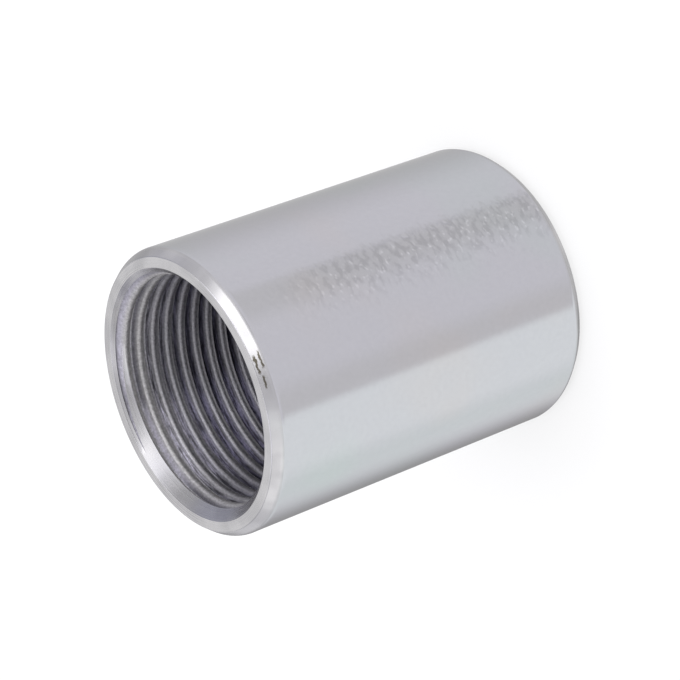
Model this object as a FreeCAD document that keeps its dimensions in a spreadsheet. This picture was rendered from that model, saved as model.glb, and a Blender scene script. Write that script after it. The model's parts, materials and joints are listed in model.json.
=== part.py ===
# Rigid metal conduit coupling: a straight steel sleeve that joins two lengths of conduit end to
# end. It is one turned piece, cut from tube, bevelled outside and countersunk inside at both ends,
# and tapped right through, so a pipe screws in from either end.
#
# Frame: millimetres, +Z up along the bore. The sleeve stands on its lower end face, at z = 0, and
# the origin is the middle of that face.
#
# The bore is drawn at the minor diameter of its thread, the size that is bored before tapping.
import FreeCAD, Part
import os

import Sketcher

# Driving dimensions, in millimetres
SIZES = {
    "coupling_length": 50.8,    # from end face to end face
    "bore_diameter": 31.0,      # across the crests of the thread
    "wall_thickness": 3.8675,   # from the crests to the outside, which is 38.735 across
    "bevel_width": 1.0,         # outer edge of each end, measured across the end face
    "bevel_height": 1.3,        # the same bevel, measured along the sleeve
    "bevel_round": 1.5,         # soft corner where the bevel runs out into the outside
    "mouth_depth": 1.45,        # countersink of each mouth, at 45 degrees
}

# Lines of the wall's section, in the order they are drawn round it
SECTION_LINES = (
    "lower_face", "lower_bevel", "outside", "upper_bevel",
    "upper_face", "upper_mouth", "bore", "lower_mouth",
)

# A sketch's own origin, as constraints name it
ORIGIN = (-1, 1)

# Lengths closer than this are taken as equal
TOUCHING = 1e-4


def make_sheet(doc):
    """The spreadsheet that drives the model: a name and a number in each row."""
    sheet = doc.addObject("Spreadsheet::Sheet", "Sizes")
    for row, (name, value) in enumerate(SIZES.items(), start=1):
        sheet.set(f"A{row}", name)
        sheet.set(f"B{row}", str(value))
        sheet.setAlias(f"B{row}", name)
    doc.recompute()
    return sheet


def origin_plane(body, role):
    """One of the body's own datum planes, such as XZ_Plane."""
    return next(item for item in body.Origin.OriginFeatures if item.Role == role)


def start_of(line):
    """The first end of a sketched line, as constraints name it."""
    return line, 1


def end_of(line):
    """The second end of a sketched line, as constraints name it."""
    return line, 2


def section_corners(sheet):
    """Corners of the wall's section as (radius, height), round from the lower mouth."""
    length = sheet.coupling_length
    bore = sheet.bore_diameter / 2
    mouth = bore + sheet.mouth_depth
    outside = bore + sheet.wall_thickness
    edge = outside - sheet.bevel_width
    return [
        (mouth, 0),
        (edge, 0),
        (outside, sheet.bevel_height),
        (outside, length - sheet.bevel_height),
        (edge, length),
        (mouth, length),
        (bore, length - sheet.mouth_depth),
        (bore, sheet.mouth_depth),
    ]


def draw_section(sketch, corners):
    """Closes the corners into one outline, and returns its lines' numbers by name."""
    points = [FreeCAD.Vector(radius, height, 0) for radius, height in corners]
    lines = {}
    for name, first, second in zip(SECTION_LINES, points, points[1:] + points[:1]):
        lines[name] = sketch.addGeometry(Part.LineSegment(first, second), False)
    order = list(lines.values())
    for line, following in zip(order, order[1:] + order[:1]):
        joined = Sketcher.Constraint("Coincident", *end_of(line), *start_of(following))
        sketch.addConstraint(joined)
    return lines


def tie(sketch, direction, first, second, name, formula):
    """Fixes the distance between two points of the sketch and binds it to the sheet."""
    step = sketch.getPoint(*second) - sketch.getPoint(*first)
    distance = step.x if direction == "DistanceX" else step.y
    index = sketch.addConstraint(Sketcher.Constraint(direction, *first, *second, distance))
    sketch.renameConstraint(index, name)
    sketch.setExpression(f"Constraints.{name}", formula)


def tie_section(sketch, lines):
    """Holds the section square and binds its sizes to the sheet."""
    for name in ("lower_face", "upper_face"):
        sketch.addConstraint(Sketcher.Constraint("Horizontal", lines[name]))
    for name in ("outside", "bore"):
        sketch.addConstraint(Sketcher.Constraint("Vertical", lines[name]))

    low_mouth, low_edge = start_of(lines["lower_face"]), end_of(lines["lower_face"])
    wall_low, wall_high = start_of(lines["outside"]), end_of(lines["outside"])
    high_edge, high_mouth = start_of(lines["upper_face"]), end_of(lines["upper_face"])
    bore_high, bore_low = start_of(lines["bore"]), end_of(lines["bore"])

    sketch.addConstraint(Sketcher.Constraint("Horizontal", *ORIGIN, *low_mouth))
    tie(sketch, "DistanceY", low_edge, high_edge, "length", "Sizes.coupling_length")
    tie(sketch, "DistanceX", ORIGIN, bore_low, "bore_radius", "Sizes.bore_diameter / 2")
    tie(sketch, "DistanceX", bore_low, wall_low, "wall", "Sizes.wall_thickness")

    tie(sketch, "DistanceX", low_edge, wall_low, "low_bevel_width", "Sizes.bevel_width")
    tie(sketch, "DistanceY", low_edge, wall_low, "low_bevel_height", "Sizes.bevel_height")
    tie(sketch, "DistanceX", high_edge, wall_high, "high_bevel_width", "Sizes.bevel_width")
    tie(sketch, "DistanceY", wall_high, high_edge, "high_bevel_height", "Sizes.bevel_height")

    tie(sketch, "DistanceX", bore_low, low_mouth, "low_mouth_width", "Sizes.mouth_depth")
    tie(sketch, "DistanceY", low_mouth, bore_low, "low_mouth_depth", "Sizes.mouth_depth")
    tie(sketch, "DistanceX", bore_high, high_mouth, "high_mouth_width", "Sizes.mouth_depth")
    tie(sketch, "DistanceY", bore_high, high_mouth, "high_mouth_depth", "Sizes.mouth_depth")


def circles(shape, radius):
    """Names of the shape's circular edges that have this radius."""
    return [
        f"Edge{number}"
        for number, edge in enumerate(shape.Edges, start=1)
        if isinstance(edge.Curve, Part.Circle) and abs(edge.Curve.Radius - radius) < TOUCHING
    ]


def make_sleeve(doc, sheet):
    """The coupling itself: the section of its wall, turned round the bore's axis."""
    body = doc.addObject("PartDesign::Body", "CouplingSleeve")
    body.Label = "coupling_sleeve"

    section = body.newObject("Sketcher::SketchObject", "WallSection")
    section.AttachmentSupport = (origin_plane(body, "XZ_Plane"), [""])
    section.MapMode = "FlatFace"
    tie_section(section, draw_section(section, section_corners(sheet)))
    doc.recompute()

    turned = body.newObject("PartDesign::Revolution", "TurnedSleeve")
    turned.Profile = section
    turned.ReferenceAxis = (section, ["V_Axis"])
    turned.Angle = 360
    doc.recompute()

    outside_radius = sheet.bore_diameter / 2 + sheet.wall_thickness
    softened = body.newObject("PartDesign::Fillet", "SoftenedBevel")
    softened.Base = (turned, circles(turned.Shape, outside_radius))
    softened.setExpression("Radius", "Sizes.bevel_round")
    doc.recompute()
    return body


def check_document(doc, pieces):
    """Stops before anything is written if a feature failed or a piece isn't a sound solid."""
    for item in doc.Objects:
        if "Invalid" in item.State or "Error" in item.State:
            raise RuntimeError(f"{item.Label} failed: {item.State}")
    for piece in pieces:
        if piece.Shape.isNull() or not piece.Shape.isValid() or len(piece.Shape.Solids) != 1:
            raise RuntimeError(f"{piece.Label} isn't one valid solid")


def write_pieces(pieces):
    """Writes each piece to a STEP file that its label names, and prints its size."""
    os.makedirs("parts", exist_ok=True)
    for piece in pieces:
        piece.Shape.exportStep(f"parts/{piece.Label}.step")
        box = piece.Shape.optimalBoundingBox(False)
        print(f"{piece.Label}: {box.XLength:.3f} x {box.YLength:.3f} x {box.ZLength:.3f} mm,",
              f"{piece.Shape.Volume:.1f} mm3, {len(piece.Shape.Faces)} faces")


document = FreeCAD.newDocument("conduit_coupling")
coupling = [make_sleeve(document, make_sheet(document))]
check_document(document, coupling)
write_pieces(coupling)
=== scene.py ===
# %% [markdown]
# # A conduit coupling
# This lesson dresses one turned part: the short steel sleeve that joins two lengths of rigid conduit.
# It is a piece of tube, bevelled at both ends, tapped right through and plated with zinc. The packed
# CAD model is loaded first and stays where it is, and everything made here is measured from it.

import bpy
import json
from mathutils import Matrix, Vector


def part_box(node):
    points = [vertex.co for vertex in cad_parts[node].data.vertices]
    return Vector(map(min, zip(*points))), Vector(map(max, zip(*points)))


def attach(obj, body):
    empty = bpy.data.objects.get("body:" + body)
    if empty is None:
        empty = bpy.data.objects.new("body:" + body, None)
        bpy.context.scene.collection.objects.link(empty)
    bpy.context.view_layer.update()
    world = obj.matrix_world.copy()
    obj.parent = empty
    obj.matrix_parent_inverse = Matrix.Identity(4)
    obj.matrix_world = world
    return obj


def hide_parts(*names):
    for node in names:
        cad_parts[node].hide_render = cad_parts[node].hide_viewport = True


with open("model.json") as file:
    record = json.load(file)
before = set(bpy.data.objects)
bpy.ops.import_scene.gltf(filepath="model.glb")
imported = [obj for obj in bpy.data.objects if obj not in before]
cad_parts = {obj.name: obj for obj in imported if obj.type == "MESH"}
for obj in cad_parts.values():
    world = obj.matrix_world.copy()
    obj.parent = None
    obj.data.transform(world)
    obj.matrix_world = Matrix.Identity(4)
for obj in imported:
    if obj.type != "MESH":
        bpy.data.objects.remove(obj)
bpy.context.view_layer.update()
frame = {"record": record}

# %% [markdown]
# ## Sizes
# The sleeve stands on its lower end with the bore along Z. Its length and outside come from the CAD
# node, and the radius of the thread's crests comes from the record, so that the piece made here fits
# the solid that it stands for. Only the small sizes, such as the bevel, are written out.

# %% Measure the CAD sleeve
import json
import math

import bmesh
import bpy
from mathutils import Matrix, Vector

MM = 0.001

lowest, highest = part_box("coupling_sleeve")
length = highest.z - lowest.z
outside_radius = (highest.x - lowest.x) / 2
mounts = {mount["name"]: mount for mount in frame["record"]["mounts"]}
crest_radius = mounts["upper_thread"]["dims"]["r_mm"] * MM
print(f"sleeve: {length / MM:.2f} mm long, {2 * outside_radius / MM:.2f} mm outside,",
      f"{2 * crest_radius / MM:.2f} mm inside the crests")

# %% [markdown]
# ## The camera
# A camera can be pointed by hand, but here its angles are known, so its three directions are written
# down instead. It looks down into the upper mouth, 57 degrees away from the bore, and is rolled so
# that the sleeve lies across the picture. A long lens keeps the sides of the sleeve nearly parallel.

# %% Set up the camera
ANGLE_FROM_BORE = math.radians(57.24)
PICTURE_ROLL = math.radians(20.28)
CAMERA_DISTANCE = 388.1 * MM
LENS_MM = 155.9
SHIFT = (-0.0039, -0.0037)

middle = Vector((0, 0, length / 2))
backward = Vector((0, -math.sin(ANGLE_FROM_BORE), math.cos(ANGLE_FROM_BORE)))
down_the_bore = Vector((0, -math.cos(ANGLE_FROM_BORE), -math.sin(ANGLE_FROM_BORE)))
across = Vector((1, 0, 0))
right = down_the_bore * math.cos(PICTURE_ROLL) - across * math.sin(PICTURE_ROLL)
up = down_the_bore * math.sin(PICTURE_ROLL) + across * math.cos(PICTURE_ROLL)

bpy.ops.object.select_all(action="DESELECT")
bpy.ops.object.camera_add()
camera = bpy.context.object
turn = Matrix((right, up, backward)).transposed().to_4x4()
camera.matrix_world = Matrix.Translation(middle + backward * CAMERA_DISTANCE) @ turn
camera.data.lens = LENS_MM
camera.data.shift_x, camera.data.shift_y = SHIFT
bpy.context.scene.camera = camera
bpy.context.scene.view_settings.view_transform = "Standard"
print("camera at", [round(value, 4) for value in camera.location])

# %% [markdown]
# ## Helpers for node trees
# The light and the finishes are all node trees. Five small helpers keep them readable. They add a node
# and fill or link its inputs, do a sum, fade smoothly from 0 to 1, mix two colours, and write a grey.

# %% Node helpers
def add_node(tree, kind, inputs=None, **settings):
    """Adds a node. An input that is given a socket is linked to it, and any other is set."""
    node = tree.nodes.new(kind)
    for name, value in settings.items():
        setattr(node, name, value)
    for name, value in (inputs or {}).items():
        if isinstance(value, bpy.types.NodeSocket):
            tree.links.new(value, node.inputs[name])
        else:
            node.inputs[name].default_value = value
    return node


def maths(tree, operation, first, second=0.0):
    """The result of one sum, as a socket."""
    return add_node(tree, "ShaderNodeMath", {0: first, 1: second}, operation=operation).outputs[0]


def fade(tree, value, start, end):
    """Goes smoothly from 0 where the value is start to 1 where it is end. Start may be the larger."""
    limits = {"Value": value, "From Min": start, "From Max": end}
    node = add_node(tree, "ShaderNodeMapRange", limits, interpolation_type="SMOOTHSTEP")
    return node.outputs["Result"]


def blend_colour(tree, share, first, second):
    """Mixes two colours, as a socket. A share of 0 is the first and a share of 1 the second."""
    node = add_node(tree, "ShaderNodeMix", data_type="RGBA")
    for name, value in zip(("Factor", "A", "B"), (share, first, second)):
        socket = next(item for item in node.inputs if item.name == name and item.enabled)
        if isinstance(value, bpy.types.NodeSocket):
            tree.links.new(value, socket)
        else:
            socket.default_value = value
    return next(item for item in node.outputs if item.enabled)


def grey(level):
    """A colour without a tint."""
    return (level, level, level, 1.0)


# %% [markdown]
# ## The light tent
# Bright metal shows its surroundings more than its own colour, so the studio matters as much as the
# finish. Small metal parts are often photographed in a tent: pale cloth all round, a softbox, and gaps
# that read as dark lines. Real cards would do, but the sleeve's long straight bands come from far-off
# panels, so the tent is painted on the world by direction. Azimuth is measured from -Y towards +X,
# and elevation from the horizon, both in degrees. The camera itself sees plain white behind the sleeve.

# %% Set up the tent
TENT = (1.0, 1.0, 1.03, 1.0)

world = bpy.data.worlds.new("light_tent")
bpy.context.scene.world = world
world.use_nodes = True
tent = world.node_tree
tent.nodes.clear()

direction = add_node(tent, "ShaderNodeTexCoord").outputs["Generated"]
axes = add_node(tent, "ShaderNodeSeparateXYZ", {"Vector": direction}).outputs
front = maths(tent, "MULTIPLY", axes["Y"], -1.0)
azimuth = maths(tent, "DEGREES", maths(tent, "ARCTAN2", axes["X"], front))
elevation = maths(tent, "DEGREES", maths(tent, "ARCSINE", axes["Z"]))


def panel(sides, heights):
    """How far a direction lies inside a panel. Each pair fades from 0 at its first angle to 1."""
    share = 1.0
    for start, end in sides:
        share = maths(tent, "MULTIPLY", fade(tent, azimuth, start, end), share)
    for start, end in heights:
        share = maths(tent, "MULTIPLY", fade(tent, elevation, start, end), share)
    return share


print("tent: cloth of", TENT[:3])

# %% [markdown]
# ## Panels of the tent
# Each panel has a brightness or a colour, its sides in azimuth and its heights in elevation, and hangs
# over the ones before it. The low panels draw the bands along the outside. The cards, the softbox and
# the dark corners show in the bevel and the countersink, and the top lights reach into the thread.

# %% Hang the panels
DARK_CLOTH = (0.45, 0.46, 0.55, 1.0)
LOW, MIDDLING, HIGH = (-2, -20), (6, 14), (24, 36)
CORNER_TOP = [(28, 33), (50, 44)]
CEILING = [(50, 58), (88, 78)]
TABLE = [(-27, -33), (-62, -52)]

panels = [
    ("far right", grey(0.62), [(86, 160)], [(12, -4)]),
    ("far left", grey(0.35), [(-108, -168)], [LOW]),
    ("back right", grey(0.84), [(110, 165)], [MIDDLING]),
    ("back right top", grey(1.28), [(110, 165)], [HIGH]),
    ("back left", grey(0.84), [(-110, -165)], [MIDDLING]),
    ("back left top", grey(1.28), [(-110, -165)], [HIGH]),
    ("card edge", grey(0.92), [(-10, -30), (-60, -40)], [LOW]),
    ("white card", (1.21, 1.26, 1.25, 1.0), [(-38, -45), (-138, -80)], [(50, 42)]),
    ("green card", (1.03, 1.11, 1.08, 1.0), [(-84, -112), (-148, -92)], [LOW]),
    ("card top", grey(1.52), [(-46, -60), (-140, -110)], [(4, 18), (50, 42)]),
    ("dim gap", grey(0.90), [(26, 48), (66, 58)], [LOW]),
    ("right corner", DARK_CLOTH, [(102, 116), (152, 140)], [(14, 18), (36, 30)]),
    ("right corner foot", DARK_CLOTH, [(124, 134), (160, 150)], [(1, 6), (18, 14)]),
    ("left corner", (0.48, 0.48, 0.54, 1.0), [(-110, -122), (-160, -142)], [(13, 19), (34, 28)]),
    ("right corner top", grey(0.62), [(70, 86), (134, 118)], CORNER_TOP),
    ("left corner top", grey(0.62), [(-70, -86), (-134, -118)], CORNER_TOP),
    ("open top", grey(0.60), [], [(58, 68)]),
    ("softbox", grey(2.75), [(6, 10), (88, 54)], [(22, 26), (46, 40)]),
    ("softbox top", grey(2.1), [(6, 12), (68, 48)], [(40, 46), (63, 58)]),
    ("lens gap", grey(0.70), [(-22, -16), (2, -2)], [(34, 37), (50, 47)]),
    ("right top light", (3.0, 3.0, 3.2, 1.0), [(56, 76), (156, 130)], CEILING),
    ("left top light", (1.9, 1.9, 2.1, 1.0), [(-80, -98), (-160, -136)], CEILING),
    ("table at the right", grey(2.0), [(168, 177)], TABLE),
    ("table at the left", grey(2.0), [(-168, -177)], TABLE),
    ("underside", grey(0.92), [], [(-55, -75)]),
]
cloth = TENT
for _, colour, sides, heights in panels:
    cloth = blend_colour(tent, panel(sides, heights), cloth, colour)

rays = add_node(tent, "ShaderNodeLightPath").outputs
seen = blend_colour(tent, rays["Is Camera Ray"], cloth, grey(1.0))
lit = add_node(tent, "ShaderNodeBackground", {"Color": seen, "Strength": 1.0})
add_node(tent, "ShaderNodeOutputWorld", {"Surface": lit.outputs["Background"]})
print("tent:", len(panels), "panels,", ", ".join(row[0] for row in panels))

# %% [markdown]
# ## The floor
# The sleeve stands on a pale floor, large enough to reach past every view. Part of its brightness is
# its own for the camera, so that it stays near white, and the rest is lit, so that it keeps the soft
# shadow. Further out all of it is its own, and the floor runs into the white behind it. The metal
# doesn't mirror the floor: the tent already reaches below the horizon.

# %% Lay the floor
FLOOR_SIZE = 6.0
OWN_BRIGHTNESS = 0.62
FLOOR_WHITE = (0.96, 0.96, 0.96, 1.0)
PLAIN_FROM = 0.15
PLAIN_BY = 0.6

bpy.ops.object.select_all(action="DESELECT")
bpy.ops.mesh.primitive_plane_add(size=FLOOR_SIZE)
floor = bpy.context.object
floor.name = "studio_floor"
floor.visible_glossy = False
floor_paint = bpy.data.materials.new("pale_floor")
floor_paint.use_nodes = True
paint = floor_paint.node_tree
paint.nodes.clear()
spot = add_node(paint, "ShaderNodeTexCoord").outputs["Object"]
reach = add_node(paint, "ShaderNodeVectorMath", {0: spot}, operation="LENGTH").outputs["Value"]
own = add_node(paint, "ShaderNodeMapRange", {
    "Value": reach, "From Min": PLAIN_FROM, "From Max": PLAIN_BY, "To Min": OWN_BRIGHTNESS,
}).outputs["Result"]
rays = add_node(paint, "ShaderNodeLightPath").outputs
share = maths(paint, "MULTIPLY", own, rays["Is Camera Ray"])
matt = add_node(paint, "ShaderNodeBsdfDiffuse", {"Color": FLOOR_WHITE}).outputs["BSDF"]
glow = add_node(paint, "ShaderNodeEmission", {"Color": grey(1.0)}).outputs["Emission"]
mixed = add_node(paint, "ShaderNodeMixShader", {0: share, 1: matt, 2: glow}).outputs["Shader"]
add_node(paint, "ShaderNodeOutputMaterial", {"Surface": mixed})
floor.data.materials.append(floor_paint)
print("floor:", FLOOR_SIZE, "m across")

# %% [markdown]
# ## The blank
# A machinist starts from tube or bar, faces both ends, and breaks the outer and inner corners. The same
# steps work on a cylinder: each end face is extruded and resized again and again, which walks it
# through the bevel, the flat ring and the countersink. The countersink goes on a little past the crests
# of the thread, and the tap, which also opens the bore, cuts its tip away.

# %% Turn the blank
ROUND_STEPS = 192
BEVEL_WIDTH = 1.0 * MM
BEVEL_HEIGHT = 1.3 * MM
MOUTH_RADIUS = 16.95 * MM
COUNTERSINK_DEPTH = 2.0 * MM
NEAR = 0.01 * MM
ALONG_BORE = 0.9

wall_zinc = bpy.data.materials.new("rolled_zinc")
ends_zinc = bpy.data.materials.new("turned_zinc")
thread_zinc = bpy.data.materials.new("tapped_zinc")


def edit(piece, select_mode):
    """Opens a piece in edit mode, to select by vertices, edges or faces."""
    bpy.ops.object.select_all(action="DESELECT")
    bpy.context.view_layer.objects.active = piece
    piece.select_set(True)
    bpy.ops.object.mode_set(mode="EDIT")
    bpy.ops.mesh.select_mode(type=select_mode)
    bpy.ops.mesh.select_all(action="DESELECT")


def pick(piece, kind, wanted):
    """Selects the verts, edges or faces for which wanted is true, and returns how many there are."""
    mesh = bmesh.from_edit_mesh(piece.data)
    found = [item for item in getattr(mesh, kind) if wanted(item)]
    bpy.ops.mesh.select_all(action="DESELECT")
    for item in found:
        item.select_set(True)
    bmesh.update_edit_mesh(piece.data)
    return len(found)


def radius_of(point):
    """Distance of a point from the bore's axis."""
    return math.hypot(point.co.x, point.co.y)


bpy.ops.object.select_all(action="DESELECT")
bpy.ops.mesh.primitive_cylinder_add(
    vertices=ROUND_STEPS, radius=outside_radius, depth=length - 2 * BEVEL_HEIGHT, location=middle)
sleeve = bpy.context.object
sleeve.name = "threaded_sleeve"
bpy.ops.object.transform_apply(location=True, rotation=False, scale=False)
sleeve.data.materials.append(wall_zinc)
sleeve.data.materials.append(ends_zinc)

edge_radius = outside_radius - BEVEL_WIDTH
countersink_end = MOUTH_RADIUS - COUNTERSINK_DEPTH
walk = [(BEVEL_HEIGHT, edge_radius), (0.0, MOUTH_RADIUS), (-COUNTERSINK_DEPTH, countersink_end)]
edit(sleeve, "FACE")
for outward in (1, -1):
    pick(sleeve, "faces", lambda face: face.normal.z * outward > ALONG_BORE)
    height = length / 2 + outward * (length / 2 - BEVEL_HEIGHT)
    radius = outside_radius
    for rise, next_radius in walk:
        height += outward * rise
        bpy.ops.mesh.extrude_region_move(TRANSFORM_OT_translate={"value": (0, 0, outward * rise)})
        shrink = next_radius / radius
        bpy.ops.transform.resize(value=(shrink, shrink, 1), center_override=(0, 0, height))
        radius = next_radius
plain_wall = outside_radius - NEAR
turned = pick(sleeve, "faces", lambda face: min(map(radius_of, face.verts)) < plain_wall)
sleeve.active_material_index = 1
bpy.ops.object.material_slot_assign()
print("blank:", turned, "faces turned at the ends")

# %% [markdown]
# ## Soft corners
# No turned corner is knife sharp, and a sharp one looks false because it catches no light. The bevel
# runs out into the outside in a wide soft corner, and the two corners of the end ring are just broken.

# %% Round the corners
BEVEL_RUNOUT = 0.51 * MM
RUNOUT_STEPS = 6
BROKEN_EDGE = 0.12 * MM
MOUTH_EDGE = 0.02 * MM
BROKEN_STEPS = 3


def pick_ring(piece, radius, height):
    """Selects the rings of edges at this radius, this far in from the two ends."""
    def on_ring(edge):
        near_end = [min(point.co.z, length - point.co.z) for point in edge.verts]
        level = abs(edge.verts[0].co.z - edge.verts[1].co.z) < NEAR
        return level and all(
            abs(radius_of(point) - radius) < NEAR and abs(inset - height) < NEAR
            for point, inset in zip(edge.verts, near_end))
    return pick(piece, "edges", on_ring)


bpy.ops.mesh.select_mode(type="EDGE")
rings = [pick_ring(sleeve, outside_radius, BEVEL_HEIGHT)]
bpy.ops.mesh.bevel(offset=BEVEL_RUNOUT, segments=RUNOUT_STEPS, profile=0.5, affect="EDGES")
for radius, size in ((edge_radius, BROKEN_EDGE), (MOUTH_RADIUS, MOUTH_EDGE)):
    rings.append(pick_ring(sleeve, radius, 0.0))
    bpy.ops.mesh.bevel(offset=size, segments=BROKEN_STEPS, profile=0.5, affect="EDGES")
bpy.ops.object.mode_set(mode="OBJECT")
print("corners: rings of", rings, "edges rounded")

# %% [markdown]
# ## The tap
# The thread is a right-hand pipe thread, 11.5 to the inch. It could be faked with bump, but it is the
# first thing one sees in the mouth, so it is cut for real, with a tap: a rod that carries the same
# thread outside. One pitch of its outline is drawn by extruding a single point, and its corners are
# rounded: well at the crests that it leaves, which wear and zinc soften, and barely at the roots. The
# outline is drawn on the X axis, a quarter turn before the back of the bore, where the camera sees how
# deep the crests lie. The Screw modifier winds it up, in as many steps a turn as the blank has, which
# keeps the cut clean, and Bisect then saws both ends off square.

# %% Draw one pitch of the tap
PITCH = 25.4 * MM / 11.5
ROOT_RADIUS = 16.6 * MM
FLANK_SLOPE = math.tan(math.radians(30))
CREST_FLAT = 0.36 * PITCH
CREST_ROUND = 0.35 * MM
CREST_STEPS = 5
ROOT_ROUND = 0.03 * MM
ROOT_STEPS = 1
CREST_BELOW_FACE = 3.72 * MM
SPARE_TURNS = 2

depth = ROOT_RADIUS - crest_radius
flank = depth * FLANK_SLOPE
root_flat = PITCH - CREST_FLAT - 2 * flank
crest_height = length - CREST_BELOW_FACE - PITCH / 4
turns_below = math.ceil(crest_height / PITCH) + SPARE_TURNS
turns_above = math.ceil((length - crest_height) / PITCH) + SPARE_TURNS
start = crest_height - turns_below * PITCH

bpy.ops.object.select_all(action="DESELECT")
bpy.ops.mesh.primitive_plane_add(size=PITCH, location=(crest_radius, 0, start))
tap = bpy.context.object
tap.name = "tap"
bpy.ops.object.transform_apply(location=True, rotation=False, scale=False)
tap.data.materials.append(thread_zinc)
edit(tap, "VERT")
bpy.ops.mesh.select_all(action="SELECT")
bpy.ops.mesh.merge(type="CENTER")
outline = [(0, CREST_FLAT / 2), (depth, flank), (0, root_flat), (-depth, flank), (0, CREST_FLAT / 2)]
for outwards, upwards in outline:
    bpy.ops.mesh.extrude_region_move(TRANSFORM_OT_translate={"value": (outwards, 0, upwards)})
halfway = start + PITCH / 2
root_corner = (root_flat / 2, ROOT_ROUND, ROOT_STEPS)
crest_corner = (PITCH / 2 - CREST_FLAT / 2, CREST_ROUND, CREST_STEPS)
for corner, size, steps in (root_corner, crest_corner):
    found = pick(tap, "verts", lambda point: abs(abs(point.co.z - halfway) - corner) < NEAR)
    bpy.ops.mesh.bevel(offset=size, segments=steps, affect="VERTICES")
    print(f"tap: {found} corners rounded by {size / MM:.2f} mm")
bpy.ops.object.mode_set(mode="OBJECT")
print(f"tap: pitch {PITCH / MM:.4f} mm, root flat {root_flat / MM:.3f} mm")

# %% Wind the outline up and saw the ends off
WELD = 0.001 * MM


def count_open_edges(piece):
    """How many edges of a piece in edit mode don't have exactly two faces."""
    return sum(not edge.is_manifold for edge in bmesh.from_edit_mesh(piece.data).edges)


wind = tap.modifiers.new("wind", "SCREW")
wind.axis = "Z"
wind.angle = math.tau
wind.screw_offset = PITCH
wind.iterations = turns_below + turns_above
wind.steps = ROUND_STEPS
wind.render_steps = ROUND_STEPS
wind.use_merge_vertices = True
wind.merge_threshold = WELD
bpy.ops.object.modifier_apply(modifier=wind.name)
edit(tap, "VERT")
bpy.ops.mesh.select_all(action="SELECT")
bpy.ops.mesh.remove_doubles(threshold=2 * WELD)
for saw, outward in ((-PITCH, -1), (length + PITCH, 1)):
    bpy.ops.mesh.select_all(action="SELECT")
    bpy.ops.mesh.bisect(
        plane_co=(0, 0, saw), plane_no=(0, 0, outward), use_fill=True, clear_outer=True,
        threshold=WELD / 10)
bpy.ops.mesh.select_all(action="SELECT")
bpy.ops.mesh.normals_make_consistent(inside=False)
open_edges = count_open_edges(tap)
bpy.ops.object.mode_set(mode="OBJECT")
print("tap:", len(tap.data.polygons), "faces,", open_edges, "open edges")

# %% [markdown]
# ## Cutting the thread
# The tap is taken away from the blank with a Boolean. The exact solver copes with the long curves where
# the thread runs out into the countersink, and the cut faces keep the tap's own finish. Smooth shading
# stops at the sharp edges, and weighted normals keep the flat faces flat.

# %% Tap the blank
SMOOTH_ANGLE = math.radians(32)

bpy.ops.object.select_all(action="DESELECT")
bpy.context.view_layer.objects.active = sleeve
sleeve.select_set(True)
cut = sleeve.modifiers.new("cut", "BOOLEAN")
cut.operation = "DIFFERENCE"
cut.solver = "EXACT"
cut.material_mode = "TRANSFER"
cut.object = tap
bpy.ops.object.modifier_apply(modifier=cut.name)
bpy.data.objects.remove(tap)
edit(sleeve, "VERT")
bpy.ops.mesh.select_all(action="SELECT")
bpy.ops.mesh.remove_doubles(threshold=WELD)
bpy.ops.mesh.normals_make_consistent(inside=False)
open_edges = count_open_edges(sleeve)
bpy.ops.object.mode_set(mode="OBJECT")
bpy.ops.object.shade_smooth_by_angle(angle=SMOOTH_ANGLE)
even = sleeve.modifiers.new("even", "WEIGHTED_NORMAL")
even.mode = "FACE_AREA"
even.keep_sharp = True
bpy.ops.object.modifier_apply(modifier=even.name)
triangles = sum(len(face.vertices) - 2 for face in sleeve.data.polygons)
print("sleeve:", triangles, "triangles,", open_edges, "open edges,",
      [slot.material.name for slot in sleeve.material_slots])

# %% [markdown]
# ## Reading a place on the sleeve
# All three finishes are the same zinc, but each was left by another tool, so each has its own marks.
# The marks follow the turning, so they need a place as a lathe hand would give it: the angle round
# the sleeve, the radius and the height. These come from Object coordinates and need no UV map. From here
# on lengths are in millimetres and angles in degrees. A pair of numbers is where a fade starts and where
# it ends, or the lowest and the highest of a range.

# %% Shared steps for the finishes
ZINC = (0.508, 0.502, 0.532, 1.0)


def start_finish(material):
    """Empties a material's node tree and gives it a metal shader."""
    material.use_nodes = True
    tree = material.node_tree
    tree.nodes.clear()
    metal = add_node(tree, "ShaderNodeBsdfPrincipled", {"Metallic": 1.0})
    add_node(tree, "ShaderNodeOutputMaterial", {"Surface": metal.outputs["BSDF"]})
    return tree, metal


def lathe_place(tree):
    """The place on the sleeve: a vector, an angle in degrees, a radius and a height, in millimetres."""
    place = add_node(tree, "ShaderNodeTexCoord").outputs["Object"]
    place = add_node(
        tree, "ShaderNodeVectorMath", {0: place, "Scale": 1 / MM}, operation="SCALE").outputs["Vector"]
    along = add_node(tree, "ShaderNodeSeparateXYZ", {"Vector": place}).outputs
    flat = add_node(tree, "ShaderNodeCombineXYZ", {"X": along["X"], "Y": along["Y"]}).outputs["Vector"]
    radius = add_node(tree, "ShaderNodeVectorMath", {0: flat}, operation="LENGTH").outputs["Value"]
    front = maths(tree, "MULTIPLY", along["Y"], -1.0)
    angle = maths(tree, "DEGREES", maths(tree, "ARCTAN2", along["X"], front))
    return place, angle, radius, along["Z"]


def grain(tree, place, size, detail=2.0, roughness=0.5):
    """Soft random grain from 0 to 1, with lumps of about this size in millimetres."""
    inputs = {"Vector": place, "Scale": 1 / size, "Detail": detail, "Roughness": roughness}
    return add_node(tree, "ShaderNodeTexNoise", inputs).outputs[0]


def spread(tree, value, low, high):
    """Stretches a grain of 0 to 1 so that it runs from low to high, without clipping."""
    limits = {"Value": value, "To Min": low, "To Max": high}
    return add_node(tree, "ShaderNodeMapRange", limits, clamp=False).outputs["Result"]


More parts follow.
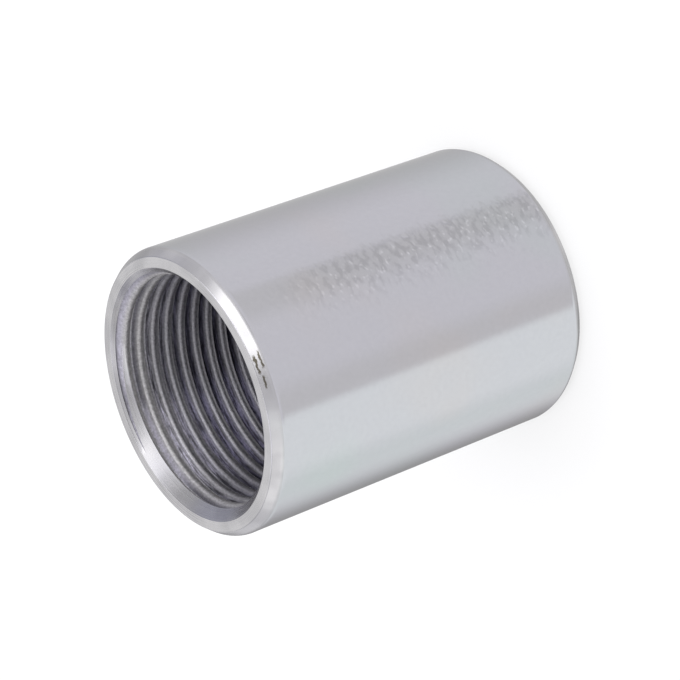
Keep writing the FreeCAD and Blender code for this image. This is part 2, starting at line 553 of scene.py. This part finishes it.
def tone(tree, colour, brightness):
    """Makes a colour lighter or darker: a brightness of 1 leaves it as it is."""
    node = add_node(tree, "ShaderNodeVectorMath", {0: colour, "Scale": brightness}, operation="SCALE")
    return node.outputs["Vector"]


def bump(tree, metal, height, depth):
    """Raises the surface by a height of 0 to 1 times a depth in millimetres."""
    inputs = {"Height": height, "Distance": depth * MM, "Strength": 1.0}
    node = add_node(tree, "ShaderNodeBump", inputs)
    tree.links.new(node.outputs["Normal"], metal.inputs["Normal"])


# %% [markdown]
# ## Zinc on the outside
# The outside is drawn tube under bright zinc: smooth, with a thin film that shifts a little between
# lavender and pale green. Along one side runs the tube's old seam, where the zinc took a pebbled grain.
# Its pebbled grain is real and made by bump. Its colour is duller in blotches, partly the zinc's own and
# partly painted shade, and brighter in specks further in, as painted glints. It ends in a wandering edge.
# It could be modelled, but pebbles this small read as well from noise, and a mask by angle and height
# places them.

# %% Film and seam
GREEN_FILM = (0.497, 0.512, 0.526, 1.0)
WARM_FILM = (0.520, 0.500, 0.516, 1.0)
FILM_LUMP = 22.0
GREEN_WHERE = (0.50, 0.72)
WARM_WHERE = (0.46, 0.28)
BLOTCH = 0.9
PEBBLE = 0.5
SQUEEZED_ROUND = 0.6
SEAM_EDGE = 31.0
SEAM_STARTS = (-1.0, 1.5)
SEAM_ENDS = (25.0, 8.0)
SEAM_WANDER = 7.0
SEAM_TOP = (47.0, 32.0)

tree, metal = start_finish(wall_zinc)
place, angle, radius, height = lathe_place(tree)
film = grain(tree, place, FILM_LUMP)
colour = blend_colour(tree, fade(tree, film, *GREEN_WHERE), ZINC, GREEN_FILM)
colour = blend_colour(tree, fade(tree, film, *WARM_WHERE), colour, WARM_FILM)
arc = maths(tree, "MULTIPLY", angle, math.radians(outside_radius / MM))
arc = maths(tree, "MULTIPLY", arc, SQUEEZED_ROUND)
rolled = add_node(tree, "ShaderNodeCombineXYZ", {"X": arc, "Y": height}).outputs["Vector"]
blotch = grain(tree, rolled, BLOTCH)
pebbles = grain(tree, rolled, PEBBLE)
wander = spread(tree, blotch, -SEAM_WANDER, SEAM_WANDER)
inside = maths(tree, "ADD", maths(tree, "SUBTRACT", SEAM_EDGE, angle), wander)
seam = maths(tree, "MULTIPLY", fade(tree, inside, *SEAM_STARTS), fade(tree, inside, *SEAM_ENDS))
seam = maths(tree, "MULTIPLY", seam, fade(tree, height, *SEAM_TOP))
print("seam: from", SEAM_EDGE - SEAM_ENDS[0], "to", SEAM_EDGE, "degrees, up to", SEAM_TOP[0], "mm")

# %% Plate the outside
BLOTCH_WHERE = (0.57, 0.38)
BLOTCH_DULL_AND_SHADE = (0.03, 0.17)
GLINT_WHERE = (0.58, 0.68)
GLINT_INSET = (2.0, 9.0)
GLINT_GAIN = 1.3
MOTTLE = 0.6
MOTTLE_TONE = (0.97, 1.03)
WALL_ROUGHNESS = (0.10, 0.16)
SEAM_ROUGHER = 0.06
PLAIN_PEEL = 0.05
PEEL_DEPTH = 0.05

# The blotches darken the seam's colour: partly the zinc's own dullness, partly painted shade.
dullness_and_shade = spread(tree, fade(tree, blotch, *BLOTCH_WHERE), *BLOTCH_DULL_AND_SHADE)
dullness_and_shade = maths(tree, "MULTIPLY", seam, dullness_and_shade)
# Painted glints: the specks brighten the seam's colour further in.
glints = maths(tree, "MULTIPLY", seam, fade(tree, pebbles, *GLINT_WHERE))
glints = maths(tree, "MULTIPLY", glints, fade(tree, inside, *GLINT_INSET))
colour = tone(tree, colour, maths(tree, "SUBTRACT", 1.0, dullness_and_shade))
colour = tone(tree, colour, spread(tree, glints, 1.0, GLINT_GAIN))
colour = tone(tree, colour, spread(tree, grain(tree, place, MOTTLE), *MOTTLE_TONE))
tree.links.new(colour, metal.inputs["Base Color"])
rougher = maths(tree, "MULTIPLY", seam, SEAM_ROUGHER)
rough = maths(tree, "ADD", rougher, spread(tree, film, *WALL_ROUGHNESS))
tree.links.new(rough, metal.inputs["Roughness"])
peel = maths(tree, "MULTIPLY", pebbles, spread(tree, seam, PLAIN_PEEL, 1.0))
bump(tree, metal, peel, PEEL_DEPTH)
print("outside:", len(tree.nodes), "nodes")

# %% [markdown]
# ## Zinc on the turned ends
# A lathe tool leaves fine rings on the bevel, the end ring and the countersink. Noise that runs only
# along the radius and height makes rings that go right round, and a little of the ordinary kind breaks
# them up. Three chatter streaks on the bevel are painted dark, as a painted reflection of a dark gap.
# Each is a short wobbling line with its own depth below the end face in millimetres, its own angle and
# its own reach to both sides in degrees.

# %% Plate the ends
RING_STEP = 0.28
HEIGHT_SHARE = 0.7
RING_TONE = (0.98, 1.02)
RING_ROUGHNESS = (0.20, 0.32)
RING_DEPTH = 0.002
CLOUD = 5.0
CLOUD_EDGE = (0.35, 0.65)
FINE_GRAIN = 0.5
FINE_SHARE = 0.6
WOBBLE = 0.25
TURNED_ZINC = (0.512, 0.504, 0.518, 1.0)
DULL_ZINC = (0.432, 0.426, 0.440, 1.0)
GAP_REFLECTION_DARK = (0.11, 0.10, 0.08, 1.0)
CHATTER_STREAKS = ((0.35, 1.5, 4.5), (0.9, 3.0, 4.0), (0.6, -5.5, 3.0))
CHATTER_EDGE = (0.16, 0.06)
CHATTER_CORE = 0.6

tree, metal = start_finish(ends_zinc)
place, angle, radius, height = lathe_place(tree)
across_cut = maths(tree, "ADD", radius, maths(tree, "MULTIPLY", height, HEIGHT_SHARE))
rings = add_node(
    tree, "ShaderNodeTexNoise", {"W": across_cut, "Scale": 1 / RING_STEP, "Detail": 2.0},
    noise_dimensions="1D").outputs[0]
cloud = grain(tree, place, CLOUD)
colour = blend_colour(tree, fade(tree, cloud, *CLOUD_EDGE), DULL_ZINC, TURNED_ZINC)
colour = tone(tree, colour, spread(tree, rings, *RING_TONE))
wobble = spread(tree, grain(tree, place, FINE_GRAIN), -WOBBLE, WOBBLE)


def chatter_streak(below_face, middle_angle, reach):
    """A short chatter streak round the bevel, painted dark as a reflection: 1 on the line and 0 off it.
    """
    line = maths(tree, "ADD", maths(tree, "SUBTRACT", height, length / MM - below_face), wobble)
    on_line = fade(tree, maths(tree, "ABSOLUTE", line), *CHATTER_EDGE)
    off_middle = maths(tree, "ABSOLUTE", maths(tree, "SUBTRACT", angle, middle_angle))
    return maths(tree, "MULTIPLY", on_line, fade(tree, off_middle, reach, CHATTER_CORE * reach))


chatter_reflections = 0.0
for below_face, middle_angle, reach in CHATTER_STREAKS:
    chatter_reflections = maths(tree, "MAXIMUM", chatter_streak(below_face, middle_angle, reach), chatter_reflections)
# Painted reflection: the streaks darken the bevel's colour where it would mirror a dark gap.
colour = blend_colour(tree, chatter_reflections, colour, GAP_REFLECTION_DARK)
tree.links.new(colour, metal.inputs["Base Color"])
tree.links.new(spread(tree, rings, *RING_ROUGHNESS), metal.inputs["Roughness"])
broken = maths(tree, "MULTIPLY", grain(tree, place, FINE_GRAIN), FINE_SHARE)
bump(tree, metal, maths(tree, "ADD", rings, broken), RING_DEPTH)
print("ends:", len(tree.nodes), "nodes")

# %% [markdown]
# ## Zinc in the thread
# The thread's colour carries painted light and shade. Crests and first turns are painted bright and
# flanks dark, and all of it is painted darker further in, as painted shade of the deep bore; only part of
# the crests' brightness is their own, from the tap's polish. A thin painted highlight runs along the
# bottom of the grooves near the mouth. Painted light brightens the grooves along one side, and on
# another a painted highlight brightens the first turn. A painted shadow darkens the outermost edge of
# the first groove. Masks by radius, angle and distance from the end do all this, and follow the thread
# by themselves.

# %% Colours of the grooves
MOUTH_GROOVE = (0.235, 0.228, 0.258, 1.0)
DEEP_GROOVE_SHADE = (0.078, 0.074, 0.106, 1.0)
GROOVE_DARKENS = (2.5, 11.0)
PAINTED_LIGHT_SIDE = -159.0
PAINTED_LIGHT_REACH = (29.5, 10.0)
PAINTED_LIGHT_GAIN = 2.6
HIGHLIGHT_SIDE = 132.0
HIGHLIGHT_REACH = (48.7, 25.8)
HIGHLIGHT_TURN = (2.6, 1.7)
HIGHLIGHT_GAIN = 1.9
EDGE_SHADOW_LINE = (0.45, 0.85)
EDGE_SHADOW_TONE = 0.5

tree, metal = start_finish(thread_zinc)
place, angle, radius, height = lathe_place(tree)
from_end = maths(tree, "MINIMUM", height, maths(tree, "SUBTRACT", length / MM, height))
from_crest = maths(tree, "SUBTRACT", radius, crest_radius / MM)


def facing(side, reach, full):
    """A share that starts this many degrees to both sides of an angle, and is 1 nearer to it."""
    off_side = maths(tree, "RADIANS", maths(tree, "SUBTRACT", angle, side))
    limits = [math.cos(math.radians(limit)) for limit in (reach, full)]
    return fade(tree, maths(tree, "COSINE", off_side), *limits)


# Painted shade: the grooves' colour darkens from the mouth inwards, where the bore lies in shade.
groove = blend_colour(tree, fade(tree, from_end, *GROOVE_DARKENS), MOUTH_GROOVE, DEEP_GROOVE_SHADE)
# Painted light: the grooves are painted brighter on the side that the light reaches deepest into the
# bore.
groove = tone(tree, groove, spread(tree, facing(PAINTED_LIGHT_SIDE, *PAINTED_LIGHT_REACH), 1.0, PAINTED_LIGHT_GAIN))
# Painted highlight: the first turn is painted brighter on one side of the mouth.
side_highlight = maths(tree, "MULTIPLY", facing(HIGHLIGHT_SIDE, *HIGHLIGHT_REACH), fade(tree, from_end, *HIGHLIGHT_TURN))
groove = tone(tree, groove, spread(tree, side_highlight, 1.0, HIGHLIGHT_GAIN))
# Painted shadow: a thin dark line along the outermost edge of the first groove, next to the ring.
groove = tone(tree, groove, spread(tree, fade(tree, from_end, *EDGE_SHADOW_LINE), EDGE_SHADOW_TONE, 1.0))
print("grooves:", len(tree.nodes), "nodes")

# %% [markdown]
# ## Marks of the tap
# A tap tears the steel a little. The torn grain is ordinary noise, and the streaks along the flanks are
# noise that is drawn out round the bore. Their angle counts the same to both sides, so that they meet.

# %% Plate the thread
MOUTH_CREST = (0.48, 0.47, 0.475, 1.0)
DEEP_CREST_SHADE = (0.315, 0.308, 0.330, 1.0)
CREST_DARKENS = (3.5, 6.5)
FLANK_REACH = (0.03, 0.80)
ROOT_HIGHLIGHT = (0.60, 0.59, 0.62, 1.0)
ROOT_REACH = (0.90, 1.02)
ROOT_STARTS = (1.5, 2.5)
ROOT_ENDS = (13.0, 3.0)
TORN_GRAIN = 0.35
TORN_TONE = (0.30, 1.70)
TORN_DEPTH = 0.02
STREAK_WIDTH = 0.24
STREAK_EDGE = (0.32, 0.68)
STREAKS_START = (2.5, 4.5)
STREAK_GAIN = 2.3
DRAWN_OUT = 0.10
SCUFFED_MOUTH = (5.5, 3.5)
THREAD_ROUGHNESS = (0.50, 0.58)
TORN_ROUGHNESS = 0.1

arc = maths(tree, "MULTIPLY", maths(tree, "ABSOLUTE", angle), math.radians(crest_radius / MM))
arc = maths(tree, "MULTIPLY", arc, DRAWN_OUT)
drawn = add_node(tree, "ShaderNodeCombineXYZ", {"X": arc, "Y": height, "Z": radius}).outputs["Vector"]
streaks = fade(tree, grain(tree, drawn, STREAK_WIDTH), *STREAK_EDGE)
streaks = maths(tree, "SUBTRACT", streaks, 0.5)
streaks = maths(tree, "MULTIPLY", streaks, fade(tree, from_end, *STREAKS_START))
groove = tone(tree, groove, spread(tree, streaks, 1.0, STREAK_GAIN))
# Painted shade: crests darken further in, and the flanks take the darker groove colour between the
# crests.
crest = blend_colour(tree, fade(tree, from_end, *CREST_DARKENS), MOUTH_CREST, DEEP_CREST_SHADE)
sunk = fade(tree, from_crest, *FLANK_REACH)
colour = blend_colour(tree, sunk, crest, groove)
# Painted highlight: a thin light line along the bottom of the grooves near the mouth.
root_highlight = fade(tree, from_crest, *ROOT_REACH)
root_highlight = maths(tree, "MULTIPLY", root_highlight, fade(tree, from_end, *ROOT_ENDS))
root_highlight = maths(tree, "MULTIPLY", root_highlight, fade(tree, from_end, *ROOT_STARTS))
colour = blend_colour(tree, root_highlight, colour, ROOT_HIGHLIGHT)
torn = grain(tree, place, TORN_GRAIN, detail=3.0, roughness=0.65)
colour = tone(tree, colour, spread(tree, torn, *TORN_TONE))
tree.links.new(colour, metal.inputs["Base Color"])
scuffed = maths(tree, "MAXIMUM", sunk, fade(tree, from_end, *SCUFFED_MOUTH))
rough = spread(tree, scuffed, *THREAD_ROUGHNESS)
rough = maths(tree, "ADD", rough, spread(tree, torn, -TORN_ROUGHNESS, TORN_ROUGHNESS))
tree.links.new(rough, metal.inputs["Roughness"])
bump(tree, metal, torn, TORN_DEPTH)
print("thread:", len(tree.nodes), "nodes")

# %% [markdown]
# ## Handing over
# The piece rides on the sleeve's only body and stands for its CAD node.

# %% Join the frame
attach(sleeve, "root")
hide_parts("coupling_sleeve")
